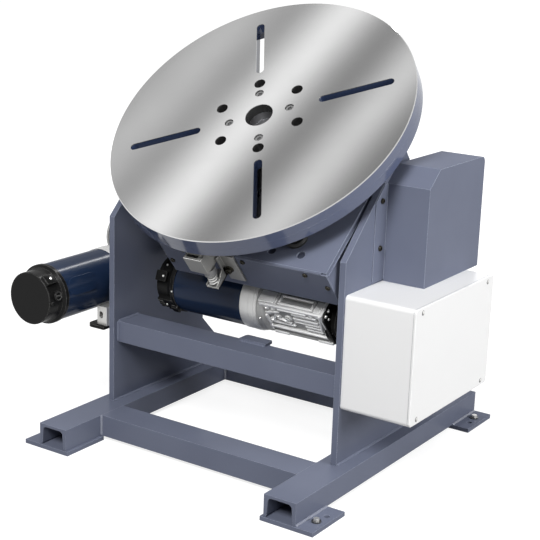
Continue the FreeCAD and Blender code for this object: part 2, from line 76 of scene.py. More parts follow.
def noise(nodes, links, coordinates, scale, detail):
    """A soft noise between 0 and 1, with scale patches a metre."""
    texture = nodes.new("ShaderNodeTexNoise")
    texture.inputs["Scale"].default_value = scale
    texture.inputs["Detail"].default_value = detail
    links.new(coordinates, texture.inputs["Vector"])
    return texture.outputs["Fac"]


def ramp(nodes, links, value, low, high, out_low=0.0, out_high=1.0):
    """The value carried from low..high to out_low..out_high in a straight line, and held beyond."""
    step = nodes.new("ShaderNodeMapRange")
    settings = (("Value", value), ("From Min", low), ("From Max", high), ("To Min", out_low),
                ("To Max", out_high))
    for label, setting in settings:
        feed(links, setting, step.inputs[label])
    return step.outputs["Result"]


def mathed(nodes, links, operation, *values):
    """One step of plain arithmetic on numbers or sockets."""
    step = nodes.new("ShaderNodeMath")
    step.operation = operation
    for socket, value in zip(step.inputs, values):
        feed(links, value, socket)
    return step.outputs[0]


def vectored(nodes, links, operation, output, *values):
    """One step of arithmetic on vectors or sockets."""
    step = nodes.new("ShaderNodeVectorMath")
    step.operation = operation
    for socket, value in zip(step.inputs, values):
        feed(links, value, socket)
    return step.outputs[output]


def mixed(nodes, links, factor, first, second, blend="MIX"):
    """Two colours mixed: first * (1 - factor) + second * factor, or by the blend named."""
    mix = nodes.new("ShaderNodeMix")
    mix.data_type = "RGBA"
    mix.blend_type = blend
    for index, value in ((0, factor), (6, first), (7, second)):
        feed(links, value, mix.inputs[index])
    return mix.outputs[2]


def sprayed_skin():
    """Uneven finish: slow colour drift, faint orange peel, and rounded arrises with a painted highlight.

    Colour = base, darker by a fifth where drift * slow noise is 1, and mixed with Glint by Rim where the
    rounded normal leaves the face's own: a painted highlight along the arrises, beside the real shading
    of the rounded normal. Roughness goes from Smooth to Rough with the slow noise, and the bump height is
    peel * a fine noise.
    """
    number, tint, vector = "NodeSocketFloat", "NodeSocketColor", "NodeSocketVector"
    group, start, end = shader_group(
        "sprayed_skin",
        [("Base", tint, (0.5, 0.5, 0.5, 1)), ("Drift", number, 0.1), ("Peel", number, 0.1),
         ("Edge", number, 0.001), ("Rim", number, 0.3), ("Glint", tint, (0.5, 0.54, 0.64, 1)),
         ("Smooth", number, 0.36), ("Rough", number, 0.46)],
        [("Color", tint), ("Roughness", number), ("Normal", vector)])
    nodes, links = group.nodes, group.links
    place = nodes.new("ShaderNodeTexCoord").outputs["Object"]
    patches_a_metre, grains_a_metre = 7.0, 900.0
    slow = noise(nodes, links, place, patches_a_metre, 4.0)
    fine = noise(nodes, links, place, grains_a_metre, 1.0)
    dark = mixed(nodes, links, 1.0, start.outputs["Base"], (0.80, 0.80, 0.82), "MULTIPLY")
    share = mathed(nodes, links, "MULTIPLY", ramp(nodes, links, slow, 0.35, 0.65), start.outputs["Drift"])
    colour = mixed(nodes, links, share, start.outputs["Base"], dark)
    edge = nodes.new("ShaderNodeBevel")
    edge.samples = 6
    links.new(start.outputs["Edge"], edge.inputs["Radius"])
    own = nodes.new("ShaderNodeNewGeometry").outputs["True Normal"]
    turn = vectored(nodes, links, "DOT_PRODUCT", "Value", edge.outputs["Normal"], own)
    turn_starts, turn_full = 0.985, 0.85
    turned_share = ramp(nodes, links, turn, turn_starts, turn_full)
    # Painted highlight: where the rounded normal turns from the face's own, the colour is mixed towards
    # Glint.
    rim = mathed(nodes, links, "MULTIPLY", turned_share, start.outputs["Rim"])
    colour = mixed(nodes, links, rim, colour, start.outputs["Glint"])
    peel_height = 0.0002
    bump = nodes.new("ShaderNodeBump")
    bump.inputs["Distance"].default_value = peel_height
    links.new(start.outputs["Peel"], bump.inputs["Strength"])
    links.new(fine, bump.inputs["Height"])
    links.new(edge.outputs["Normal"], bump.inputs["Normal"])
    gloss = ramp(nodes, links, slow, 0.3, 0.7, start.outputs["Smooth"], start.outputs["Rough"])
    links.new(colour, end.inputs["Color"])
    links.new(gloss, end.inputs["Roughness"])
    links.new(bump.outputs["Normal"], end.inputs["Normal"])
    return group


skin_group = sprayed_skin()


def coated(name, colour, drift=0.5, peel=0.12, edge=0.0012, rim=0.25, gloss=(0.34, 0.42), metallic=0.0,
           specular=0.22, glancing=1.0, glint=(0.50, 0.54, 0.64)):
    """A sprayed, plated or moulded finish around the shared skin group, with the skin's painted highlight on
    the arrises, set by rim and glint. Where it is seen at a flat angle, its specular level falls to the share
    glancing."""
    material = bpy.data.materials.new(name)
    material.use_nodes = True
    nodes, links = material.node_tree.nodes, material.node_tree.links
    shader = nodes["Principled BSDF"]
    skin = nodes.new("ShaderNodeGroup")
    skin.node_tree = skin_group
    values = {"Base": (*colour, 1.0), "Drift": drift, "Peel": peel, "Edge": edge, "Rim": rim,
              "Glint": (*glint, 1.0), "Smooth": gloss[0], "Rough": gloss[1]}
    for label, value in values.items():
        skin.inputs[label].default_value = value
    for label, target in (("Color", "Base Color"), ("Roughness", "Roughness"), ("Normal", "Normal")):
        links.new(skin.outputs[label], shader.inputs[target])
    shader.inputs["Metallic"].default_value = metallic
    shader.inputs["Specular IOR Level"].default_value = specular
    if glancing < 1.0:
        flat_starts, flat_full = 0.45, 0.72
        facing = nodes.new("ShaderNodeLayerWeight").outputs["Facing"]
        falling = ramp(nodes, links, facing, flat_starts, flat_full, specular, specular * glancing)
        links.new(falling, shader.inputs["Specular IOR Level"])
    return material


def finish_nodes(material, names):
    """One finish on CAD nodes that are kept as they are."""
    for name in names:
        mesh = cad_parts[name].data
        mesh.materials.clear()
        mesh.materials.append(material)


def shell(name, parts, axes, material, body, crease=32):
    """Closed skins over rings of points, given in millimetres along the axes' own directions.

    Point (i, j) of a part is joined to (i + 1, j) and to (i, j + 1), the last column to the first, and
    the first and last rings are closed by one face each.
    """
    origin, directions = axes
    points, faces, count = [], [], 0
    for rings in parts:
        rows, columns = rings.shape[:2]
        index = count + np.arange(rows * columns).reshape(rows, columns)
        across = np.roll(index, -1, axis=1)
        quads = np.stack((index[:-1], across[:-1], across[1:], index[1:]), axis=-1).reshape(-1, 4)
        faces += quads.tolist() + [index[0][::-1].tolist(), index[-1].tolist()]
        points.append(rings.reshape(-1, 3))
        count += rows * columns
    mesh = bpy.data.meshes.new(name)
    mesh.from_pydata((origin + np.concatenate(points) * mm @ directions).tolist(), [], faces)
    work = bmesh.new()
    work.from_mesh(mesh)
    bmesh.ops.recalc_face_normals(work, faces=work.faces)
    work.to_mesh(mesh)
    work.free()
    mesh.polygons.foreach_set("use_smooth", [True] * len(mesh.polygons))
    mesh.set_sharp_from_angle(angle=math.radians(crease))
    mesh.materials.append(material)
    piece = bpy.data.objects.new(name, mesh)
    bpy.context.collection.objects.link(piece)
    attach(piece, body)
    return piece


def bead(start, end, first, second, leg=3.2, ripple=4.5):
    """Rings of a fillet weld along the corner from start to end, between the faces that look to first
    and second. Point at angle a: corner + leg * (cos(a)^1.5 * first + sin(a)^1.5 * second), with the leg
    swelling by a tenth once each ripple and dying away at both ends. The section's root is sunk a
    little behind both faces."""
    start, end, first, second = (np.array(value, float) for value in (start, end, first, second))
    length = np.linalg.norm(end - start)
    along = np.linspace(0, 1, max(5, int(3 * length / ripple)))
    taper = np.clip(np.minimum(along, 1 - along) * length / leg + 0.35, 0, 1)
    swell = leg * (1 + 0.1 * np.sin(2 * np.pi * along * length / ripple)) * np.sqrt(taper)
    angle = np.linspace(0, np.pi / 2, 6)
    root = [-0.08]
    one = np.concatenate((root, np.cos(angle).clip(0) ** 1.5))
    two = np.concatenate((root, np.sin(angle).clip(0) ** 1.5))
    section = one[:, None] * first + two[:, None] * second
    return start + along[:, None, None] * (end - start) + swell[:, None, None] * section


sprayed = {"drift": 0.35, "peel": 0.06, "gloss": (0.18, 0.26), "specular": 0.05, "glancing": 0.05}
enamel = coated("blue_grey_enamel", enamel_colour, rim=0.3, **sprayed)
# The welds' enamel is paler than the plates': a painted highlight for the glints on the beads.
weld_enamel_painted_glint = coated("weld_enamel_with_painted_glint", (0.20, 0.215, 0.27), drift=1.0, peel=0.2, gloss=(0.07, 0.12),
                     specular=0.6)
finish_nodes(enamel, ["left_rail", "right_rail", "front_cross_member", "rear_cross_member",
                      "foot_front_left", "foot_front_right", "foot_rear_left", "foot_rear_right"])
rail_inner, rail_outer, rail_top, foot_top = 225.0, 290.0, 50.0, 8.0
frame_beads = []
for side in (-1, 1):
    for cross_y, look in ((-241.0, -1), (-176.0, 1), (168.0, -1), (233.0, 1)):
        foot_end, top_end = (side * rail_inner, cross_y, foot_top), (side * rail_inner, cross_y, rail_top)
        frame_beads.append(bead(foot_end, top_end, (0, look, 0), (-side, 0, 0)))
    for low, high in ((-342, -242), (242, 342)):
        front_end, rear_end = (side * rail_outer, low, foot_top), (side * rail_outer, high, foot_top)
        frame_beads.append(bead(front_end, rear_end, (side, 0, 0), (0, 0, 1)))
shell("frame_welds", frame_beads, part_axes, weld_enamel_painted_glint, "frame")

# Jack bolts and washers in the feet.
# Zinc-plated steel, screwed down to level the frame.
zinc = coated("zinc_plate", (0.58, 0.575, 0.555), drift=0.7, peel=0.06, edge=0.0006, rim=0.5, metallic=0.7)
dull_bolt = coated("dull_bolt_steel", (0.11, 0.11, 0.11), drift=0.7, peel=0.1, edge=0.0006, rim=0.3,
                   metallic=0.8)
finish_nodes(zinc, ["jack_bolts"])
finish_nodes(dull_bolt, ["jack_washers"])

# Side plates, mid beam and stop tab.
# Flame-cut 12 mm plate with ground edges, welded down on the rails; the beam is the same channel,
# and a flat tab on it stops the tilting body.
# Plates, covers and the body's top carry a stronger painted highlight along their arrises.
enamel_painted_edge_glint = coated("enamel_with_painted_edge_glint", enamel_colour, rim=0.7, **sprayed)
finish_nodes(enamel_painted_edge_glint, ["left_side_plate", "right_side_plate"])
finish_nodes(enamel, ["mid_beam", "stop_tab", "left_bearing_housing", "right_bearing_housing",
                      "tilt_gearbox_seat"])
plate_front, plate_rear = -165, 226
beam_front, beam_rear, beam_low, beam_top = -154, -89, 172, 213
plate_beads = []
for inner, outer, way in ((249.0, 261.0, 1), (-257.0, -269.0, -1)):
    for x, side in ((outer, way), (inner, -way)):
        front_end, rear_end = (x, plate_front, rail_top), (x, plate_rear, rail_top)
        plate_beads.append(bead(front_end, rear_end, (side, 0, 0), (0, 0, 1)))
    for y, look in ((beam_front, -1), (beam_rear, 1)):
        plate_beads.append(bead((inner, y, beam_low), (inner, y, beam_top), (0, look, 0), (-way, 0, 0)))
    front_end, rear_end = (inner, beam_front + 1, beam_top), (inner, beam_rear - 1, beam_top)
    plate_beads.append(bead(front_end, rear_end, (0, 0, 1), (-way, 0, 0)))
plate_beads.append(bead((-3, -100, beam_top), (55, -100, beam_top), (0, -1, 0), (0, 0, 1), 3.0))
shell("plate_welds", plate_beads, part_axes, enamel, "frame")

# Tilt bearings, trunnions and gears.
# Bearings ground bright; trunnions, gears and shafts turned and hobbed from plain steel, lightly oiled.
ground_steel = coated("ground_steel", (0.50, 0.50, 0.51), drift=0.3, peel=0.03, edge=0.0005, metallic=1.0)
gear_steel = coated("oiled_gear_steel", (0.26, 0.26, 0.265), drift=0.7, peel=0.06, edge=0.0006, metallic=1.0)
finish_nodes(ground_steel, ["left_tilt_bearing", "right_tilt_bearing", "upper_spindle_bearing",
                            "lower_spindle_bearing", "pinion_bearing"])
finish_nodes(gear_steel, ["left_trunnion", "right_trunnion", "tilt_gear", "tilt_pinion", "ring_gear",
                          "table_pinion", "spindle", "spindle_nut"])

# Tilt gear motor.
# Drawn steel tube sprayed navy, black moulded cap with its terminal boss and brush cap, die-cast
# aluminium flange and worm box, black moulded end cover held by four bright bolts.
navy = coated("navy_motor_enamel", (0.0115, 0.0235, 0.056), drift=0.3, peel=0.03, edge=0.001, rim=0.3,
              gloss=(0.16, 0.22), specular=0.14, glancing=0.12, glint=(0.06, 0.10, 0.22))
black = coated("black_moulding", (0.0080, 0.0080, 0.0080), drift=0.4, peel=0.08, edge=0.0022, rim=0.6,
               gloss=(0.22, 0.30), specular=0.09, glancing=0.25, glint=(0.16, 0.16, 0.155))
cast = coated("cast_aluminium", (0.64, 0.64, 0.63), drift=0.7, peel=0.3, edge=0.0012, rim=0.6, metallic=0.45,
              gloss=(0.40, 0.50), glint=(0.92, 0.92, 0.90))
# The worm boxes' ribs, pads and frames are a paler copy of the aluminium, a painted highlight, and their core
# a darker copy, painted shade in the recesses between them.
cast_painted_light = coated("worm_box_aluminium_painted_light", (0.88, 0.88, 0.87), drift=0.8, peel=0.3, edge=0.0012, rim=0.6,
                   metallic=0.35, gloss=(0.36, 0.46), specular=0.4, glint=(0.97, 0.97, 0.96))
cast_painted_shade = coated("cast_aluminium_painted_shade", (0.37, 0.37, 0.365), drift=0.9, peel=0.5, edge=0.0016, rim=0.5,
                metallic=0.35, gloss=(0.42, 0.52), glint=(0.75, 0.75, 0.74))
bright = coated("bright_zinc", (0.78, 0.78, 0.76), drift=0.2, peel=0.03, edge=0.0004, metallic=1.0,
                gloss=(0.24, 0.34), glint=(0.95, 0.95, 0.95))
finish_nodes(navy, ["tilt_motor_tube", "rotation_motor_tube"])
finish_nodes(black, ["tilt_motor_cap", "rotation_motor_cap", "tilt_end_cover", "rotation_end_cover"])
finish_nodes(cast, ["tilt_motor_flange", "rotation_motor_flange", "tilt_gearbox", "rotation_gearbox"])
tilt_motor_place = np.array((-334.0, -320.0, 282.0)) * mm
tilt_motor_axes = (tilt_motor_place, np.array(((0, 1, 0), (0, 0, 1), (1, 0, 0)), float))


def upright(way, side):
    """Three directions with the last along way and the first as near to side as it can be."""
    way = np.array(way, float) / np.linalg.norm(way)
    first = np.array(side, float) - np.dot(side, way) * way
    first /= np.linalg.norm(first)
    return np.array((first, np.cross(way, first), way))


def turned(profile, place, way, side=(0.31, 0.47, 0.83), columns=24):
    """Rings about way: the profile's point (r, h) lies at place + h * way + r * (cos a, sin a)."""
    radius, height = np.array(profile, float).T
    angle = np.linspace(0, 2 * np.pi, columns, endpoint=False)
    circle = np.stack((np.cos(angle), np.sin(angle), np.zeros(columns)), axis=1)
    rings = radius[:, None, None] * circle + height[:, None, None] * np.array((0, 0, 1.0))
    return np.array(place, float) + rings @ upright(way, side)


def screw(place, way, radius=5.0, height=3.2, columns=20):
    """A low rounded head with a socket sunk in its top."""
    share = ((1.0, -0.2), (1.0, 0.35), (0.93, 0.7), (0.75, 0.93), (0.5, 1.0), (0.46, 0.95), (0.44, 0.3))
    return turned([(radius * r, height * h) for r, h in share], place, way, columns=columns)


def hexagon(place, way, radius=5.0, height=3.5, side=(0.31, 0.47, 0.83)):
    """A bolt's six-sided head with its top arris turned off."""
    share = ((1.0, 0.0), (1.0, 0.85), (0.86, 1.0))
    return turned([(radius * r, height * h) for r, h in share], place, way, side, 6)


def pad(place, way, side, half_length, half_width, corner, height, rise=1.2, low=-2.0):
    """A raised pad with rounded corners and arrises: outlines of four quarter circles, one per level,
    drawn in by 1 - cos(t) times the rise while the height grows by sin(t) of it."""
    quarter = np.linspace(0, np.pi / 2, 5)
    turn = np.concatenate([quarter + k * np.pi / 2 for k in range(4)])
    signs = np.repeat(np.array(((1, 1), (-1, 1), (-1, -1), (1, -1))), 5, axis=0)
    centre = signs * (np.array((half_length, half_width)) - corner)
    spread = np.stack((np.cos(turn), np.sin(turn)), axis=1)
    level = np.linspace(0, np.pi / 2, 4)
    inset = np.concatenate(((0.0,), rise * (1 - np.cos(level))))
    tall = np.concatenate(((low,), height - rise + rise * np.sin(level)))
    flat = centre[None] + (corner - inset)[:, None, None].clip(0.05) * spread[None]
    rings = np.concatenate((flat, np.broadcast_to(tall[:, None, None], (*flat.shape[:2], 1))), axis=2)
    return np.array(place, float) + rings @ upright(way, side)


def round_motor(angle):
    """Outward direction at an angle round the motor's axis, from its own Y towards its own Z."""
    return np.array((0.0, math.cos(math.radians(angle)), math.sin(math.radians(angle))))


along_motor = (1.0, 0.0, 0.0)
cap_wall, boss_top, tube_wall = 49.0, 58.0, 54.2
boss = round_motor(42.5)
brush_cap = round_motor(79)
knob = round_motor(92)
cap_parts = [pad((13.5, 0, 0) + boss * cap_wall, boss, along_motor, 12.5, 10.5, 2.5, 9.0),
             turned([(10, -1), (10, 4), (9, 5.5), (7.4, 6.2), (7.0, 5.0), (1.0, 5.0)],
                    (21, 0, 0) + brush_cap * (cap_wall + 1), brush_cap),
             pad((21, 0, 0) + brush_cap * (cap_wall + 6), brush_cap, along_motor, 6.5, 0.9, 0.8, 1.4, 0.5),
             turned([(3.6, -1), (3.6, 2.4), (2.6, 3.2), (0.6, 3.2)], (6.5, 0, 0) + knob * (cap_wall + 1),
                    knob)]
cap_screw = screw((15.1, 0, 0) + boss * boss_top, boss, 3.4, 2.2)
shell("tilt_cap_fittings", cap_parts, tilt_motor_axes, black, "frame")
shell("tilt_cap_screw", [cap_screw], tilt_motor_axes, bright, "frame")
tube_pad = round_motor(70)
plate_seat = pad((92, 0, 0) + tube_pad * tube_wall, tube_pad, along_motor, 40, 17.5, 17, 1.5, 0.8)
shell("tilt_tube_plate_seat", [plate_seat], tilt_motor_axes, navy, "frame")

# Earth terminal.
# A bright steel block with a cable hole on a black insulating plate, bolted to the left plate.
finish_nodes(zinc, ["earth_terminal"])
finish_nodes(black, ["earth_plate"])

# Electrical box.
# Smooth white moulded plastic; a flat lid with a fine seam, held by four sunk screws with grey caps.
white = coated("white_moulding", (0.73, 0.73, 0.73), drift=0.04, peel=0.03, edge=0.0012, rim=0.4,
               gloss=(0.28, 0.34), specular=0.5, glint=(0.86, 0.86, 0.86))
finish_nodes(white, ["electrical_box", "box_lid"])
seam_grey = coated("seam_shadow", (0.42, 0.42, 0.42), drift=0.0, peel=0.0)
# Under each lid screw a dark grey disc on the lid: painted shade of the screw's sunk well.
well_painted_shade = coated("screw_well_painted_shade", (0.16, 0.16, 0.155), drift=0.2, peel=0.05)
box_face_x, seam_x = 399.0, 394.6
box_y, box_z = (-163.0, 141.0), (155.0, 366.0)
box_middle = ((box_y[0] + box_y[1]) / 2, (box_z[0] + box_z[1]) / 2)
box_half = ((box_y[1] - box_y[0]) / 2, (box_z[1] - box_z[0]) / 2)
screw_inset_y, screw_inset_z, screw_rise = 25, 9.5, 0.9
lid_screws = [np.array((box_face_x, box_middle[0] + sy * (box_half[0] - screw_inset_y),
                        box_middle[1] + sz * (box_half[1] - screw_inset_z)))
              for sy in (-1, 1) for sz in (-1, 1)]
well_profile = [(4.6, -0.3), (4.6, 0.15), (3.9, 0.3), (0.5, 0.3)]
head_profile = [(2.9, 0), (2.9, 0.9), (2.2, 1.3), (0.4, 1.3)]
wells = [turned(well_profile, place, (1, 0, 0)) for place in lid_screws]
heads = [turned(head_profile, place + (0, 0, screw_rise), (1, 0, 0)) for place in lid_screws]
shell("lid_screw_wells", wells, part_axes, well_painted_shade, "frame")
shell("lid_screws", heads, part_axes, zinc, "frame")


def seam_loop(x, width, proud):
    """A fine band round the box: the box's own rounded outline, a little larger, across a seam's width."""
    quarter = np.linspace(0, np.pi / 2, 6)
    turn = np.concatenate([quarter + k * np.pi / 2 for k in range(4)])
    signs = np.repeat(np.array(((1, 1), (-1, 1), (-1, -1), (1, -1))), 6, axis=0)
    circle = np.stack((np.cos(turn), np.sin(turn)), axis=1)
    corner = 8.0
    outline = signs * (np.array(box_half) - corner) + (corner + proud) * circle + box_middle
    levels = (x - width / 2, x + width / 2)
    return np.array([np.column_stack((np.full(24, level), outline)) for level in levels])


seam_width, seam_proud = 0.9, 0.06
shell("lid_seam", [seam_loop(seam_x, seam_width, seam_proud)], part_axes, seam_grey, "frame")

# Bearing cover.
# Folded 2 mm sheet over the right tilt bearing, its flange held to the plate by two dark socket screws.
finish_nodes(enamel_painted_edge_glint, ["bearing_cover"])
dark_screw = coated("blackened_screws", (0.020, 0.018, 0.013), drift=0.4, peel=0.05, edge=0.0006, rim=0.5,
                    metallic=0.5, glint=(0.20, 0.19, 0.14))
shell("cover_screws", [screw((263, -55, z), (1, 0, 0), 5.2, 4.0) for z in (516, 430)], part_axes, dark_screw,
      "frame")

# Tilting body.
# Welded box of 6 and 8 mm plate, sprayed with the frame; a flat front cover on socket screws, a rubber
# grommet for the motor's lead, and the spindle housing and motor mount inside.
finish_nodes(enamel_painted_edge_glint, ["body_top_plate", "front_cover"])
finish_nodes(enamel, ["body_left_wall", "body_right_wall", "body_rear_wall", "spindle_housing",
                      "gearbox_mount_plate", "mount_pillars"])
rubber = coated("black_rubber", (0.012, 0.012, 0.012), drift=0.3, peel=0.2, rim=0.1, gloss=(0.5, 0.6),
                specular=0.3)
finish_nodes(rubber, ["cable_grommet"])
lean = math.radians(40)
table_up = np.array((0, math.cos(lean), math.sin(lean)))
table_out = np.array((0, -math.sin(lean), math.cos(lean)))
tilt_axis, centre_up, centre_out = np.array((-4.0, 0, 412)), 102, 210
table_centre = tilt_axis * mm + (centre_up * table_up + centre_out * table_out) * mm
table_axes = (table_centre, np.array(((1, 0, 0), table_up, table_out)))
cover_screws = [(68, -260, -96), (200, -260, -96), (-64, -260, -96), (237, -260, -122), (-109, -260, -138)]
shell("front_cover_screws", [screw(place, (0, -1, 0), 5.0, 3.4) for place in cover_screws], table_axes,
      dark_screw, "tilt_body")
wall_front, wall_rear, plate_under = -256, 59, -91
body_beads = []
for x, way in ((-118, -1), (246, 1)):
    front_end, rear_end = (x, wall_front, plate_under), (x, wall_rear, plate_under)
    body_beads.append(bead(front_end, rear_end, (way, 0, 0), (0, 0, -1), 2.2, 4))
shell("body_welds", body_beads, table_axes, enamel, "tilt_body")
fold = np.array([(-254, -83), (-256.6, -83.2), (-258.8, -84.2), (-259.9, -85.8), (-259.9, -88.4),
                 (-254, -88.4)])
fold_rings = np.array([np.column_stack((np.full(6, x), fold)) for x in (-117.5, 236.0)])
shell("front_cover_fold", [fold_rings], table_axes, enamel_painted_edge_glint, "tilt_body")
# A dark disc a little down each of the two holes in the top plate: painted shade inside the holes.
hole_floor_painted_shade = coated("enamel_painted_shade", (0.055, 0.061, 0.088), drift=0.35, specular=0.05, glancing=0.05)
shell("hole_floors_painted_shade", [turned([(7.9, -3), (7.9, 0), (0.4, 0)], (x, v, -86.5), (0, 0, 1))
                     for x, v in ((181, -230), (121, -232))], table_axes, hole_floor_painted_shade, "tilt_body")

# Rotation gear motor.
# The same motor hung under the body; its worm box is an open-ribbed die casting with a windowed top,
# cast bosses, hexagon bolts and a square end flange.
rotation_motor_place = np.array((-195.8603, -224, -268)) * mm
rotation_motor_axes = (table_centre + rotation_motor_place @ table_axes[1], table_axes[1])
cap_pads = [(13.5, 119, cap_wall, (12.5, 10.5, 2.5, 9.0)), (22, 180, cap_wall, (19, 13, 3, 9.0)),
            (10, 174, cap_wall + 8, (6, 1.6, 1, 3.0)), (10, 182, cap_wall + 8, (6, 1.6, 1, 3.0)),
            (10, 190, cap_wall + 8, (6, 1.6, 1, 3.0)), (40, 190, cap_wall + 6, (8, 9, 3, 8.0)),
            (20, 222, cap_wall, (15, 9, 2.5, 9.5))]
cap_fittings = [pad((x, 0, 0) + round_motor(angle) * radius, round_motor(angle), along_motor, *size)
                for x, angle, radius, size in cap_pads]
shell("rotation_cap_fittings", cap_fittings, rotation_motor_axes, black, "tilt_body")
cap_dots = [(19.4, 119, 58), (14.0, 92, 51), (43.5, 145, 58), (22.0, 181, 58.2), (26.0, 206, 58)]
dot_screws = [screw((x, 0, 0) + round_motor(angle) * radius, round_motor(angle), 2.2, 1.8, 14)
              for x, angle, radius in cap_dots]
shell("rotation_cap_screws", dot_screws, rotation_motor_axes, bright, "tilt_body")


def prism(outline, start, end, rise=1.0):
    """Rings along own X of an outline in own Y and Z, each point drawn towards the middle by rise at the
    first and last ring."""
    outline = np.array(outline, float)
    inward = outline.mean(axis=0) - outline
    inward *= rise / np.linalg.norm(inward, axis=1)[:, None]
    narrow = outline + inward
    stations = ((start, narrow), (start + rise, outline), (end - rise, outline), (end, narrow))
    return np.array([np.column_stack((np.full(len(outline), x), ring)) for x, ring in stations])


wheel_x, wheel_y = 50, 63
worm_box_length, end_plate, end_cover = 147, 6.5, 10.5


def worm_box(start, end):
    """The closed casting: round neck on the motor's flange, box round the worm with a strip along its
    lower edge, worm wheel housing beside it, and the wheel's cover underneath."""
    outline = [(-41, 56), (-41, -4), (-46, -6), (-47, -11), (-42, -12), (-42, -18), (-47, -20), (-47, -26),
               (-40, -29), (-26, -56), (34, -58), (52, -42), (94, -42), (108, -30), (108, 60), (-5, 60),
               (-7, 56)]
    neck = turned([(40, 0), (54, 0), (54, 14), (49, 20), (40, 24)], (start, 0, 0), (1, 0, 0), columns=64)
    cover_profile = [(40, -1), (40, 3), (37, 5), (22, 5), (20, 3), (1, 3)]
    cover = turned(cover_profile, (start + wheel_x, wheel_y, -42), (0, 0, -1), columns=40)
    return [prism(outline, start + 20, end), neck, cover]


def worm_box_ribs(start, end):
    """Raised machined and as-cast details: arris bar, window frame and pads on top; rail, ribs, bosses,
    slanted end web and lower strip in front; end plate."""
    top, front, along, across = (0, 0, 1), (0, -1, 0), (1, 0, 0), (0, 1, 0)
    lid, wall, strip = 56, -41, -45
    middle = (start + end) / 2
    ribs = [pad((middle + 10, -43, lid), top, along, 66, 2.6, 1.2, 4.2),
            pad((start + 29, -27, lid), top, along, 17, 12.5, 2.0, 3.6),
            pad((start + 49.5, -27, lid), top, across, 12, 1.4, 1.0, 4.2),
            pad((start + 92, -36.2, lid), top, along, 37, 2.4, 1.6, 4.4),
            pad((start + 92, -18.2, lid), top, along, 37, 2.0, 1.6, 4.4),
            pad((start + 57, -27.5, lid), top, across, 10.5, 2.4, 1.6, 4.4),
            pad((start + 127, -27.5, lid), top, across, 10.5, 2.4, 1.6, 4.4),
            pad((start + 139, -28, lid), top, along, 7, 13, 1.6, 2.6),
            pad((start + 87, wall, 51.5), front, along, 31, 2.2, 1.4, 5.6),
            pad((middle + 10, strip, -7), front, along, 66, 2.6, 1.2, 3.6),
            pad((start + 40, strip, -23), front, along, 16, 3.0, 1.4, 4.4),
            pad((start + 136, strip, -23), front, along, 16, 3.0, 1.4, 4.4),
            pad((start + 143, wall, 31), front, (13, 0, 59), 29, 2.4, 1.4, 6.0)]
    last = 137
    for level, half, first in ((43.5, 2.6, 83), (31.0, 3.2, 83), (21.3, 2.0, 83), (12.6, 2.2, 103),
                               (3.0, 2.4, 103)):
        place = (start + (first + last) / 2, wall, level)
        ribs.append(pad(place, front, along, (last - first) / 2, half, 1.2, 5.0))
    for x, level, radius, height in ((29, 47, 5.5, 3.5), (42, 45, 4.5, 3), (31, 11, 6, 4.5),
                                     (48, 25, 5, 3.5), (69, 25, 7.5, 2.6), (26, 29, 6, 2.6),
                                     (127, 50, 3.6, 5), (141, 52, 3.6, 5)):
        profile = [(radius, -1), (radius, height - 1), (radius - 1.2, height), (radius * 0.4, height)]
        ribs.append(turned(profile, (start + x, wall, level), front))
    ribs += [pad((start + 39, wall, 37), front, (1, 0, 0.25), 17, 2.2, 1.4, 5.0),
             pad((start + 38, wall, 20), front, (0.5, 0, 1), 13, 2.0, 1.4, 4.4),
             pad((start + 58, wall, 15), front, (1, 0, -0.3), 15, 2.0, 1.4, 4.6),
             pad((start + 52, wall, 4), front, along, 26, 2.2, 1.4, 4.0),
             pad((start + 22, strip, 4), front, (0, 0, 1), 22, 2.4, 1.4, 3.0)]
    corners = [(-46, -27), (46, -27), (46, 60), (-46, 60)]
    return ribs + [prism(corners, end, end + end_plate, 1.6)]


def worm_box_bolts(start, end):
    """Screws on the bosses and the end flange, and four bolts on a circle round the wheel's cover."""
    front = (0, -1, 0)
    heads = [screw((start + 29, -44, 47), front, 3.2, 2.6), screw((start + 42, -43.5, 45), front, 2.6, 2.4),
             screw((start + 31, -45, 11), front, 4.0, 3.0), screw((start + 48, -44, 25), front, 2.8, 2.6),
             hexagon((start + 69, -43.5, 25), front, 4.8, 3.6), screw((start + 10, -52, 20), front, 2.6, 2.2)]
    end_face = end + end_cover - 0.3
    for y, z, radius in ((-27, 54, 3.4), (-39, 53, 3.4), (-36, 41, 2.6), (-41, 6, 2.8), (-37, -4, 2.6),
                         (-40, -19, 3.4), (38, 52, 3.4), (38, -19, 3.4)):
        heads.append(screw((end_face, y, z), (1, 0, 0), radius, 2.8, 14))
    bolt_circle = 31
    for angle in np.radians((45, 135, 225, 315)):
        across, up = bolt_circle * math.cos(angle), bolt_circle * math.sin(angle)
        heads.append(hexagon((start + wheel_x + across, wheel_y + up, -47), (0, 0, -1), 4.4, 3.4))
    return heads


end_outline = [(-49, -20), (-40, -31), (40, -31), (49, -20), (49, 50), (40, 59), (-40, 59), (-49, 50)]
for label, axes, start, body in (("tilt", tilt_motor_axes, 261.8, "frame"),
                                 ("rotation", rotation_motor_axes, 239.0, "tilt_body")):
    end = start + worm_box_length
    casting = shell(label + "_worm_box", worm_box(start, end), axes, cast_painted_shade, body)
    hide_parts(label + "_gearbox")
    shell(label + "_worm_box_ribs", worm_box_ribs(start, end), axes, cast_painted_light, body)
    shell(label + "_worm_box_bolts", worm_box_bolts(start, end), axes, bright, body)
    shell(label + "_worm_box_end", [prism(end_outline, end + end_plate, end + end_cover)], axes, black, body)

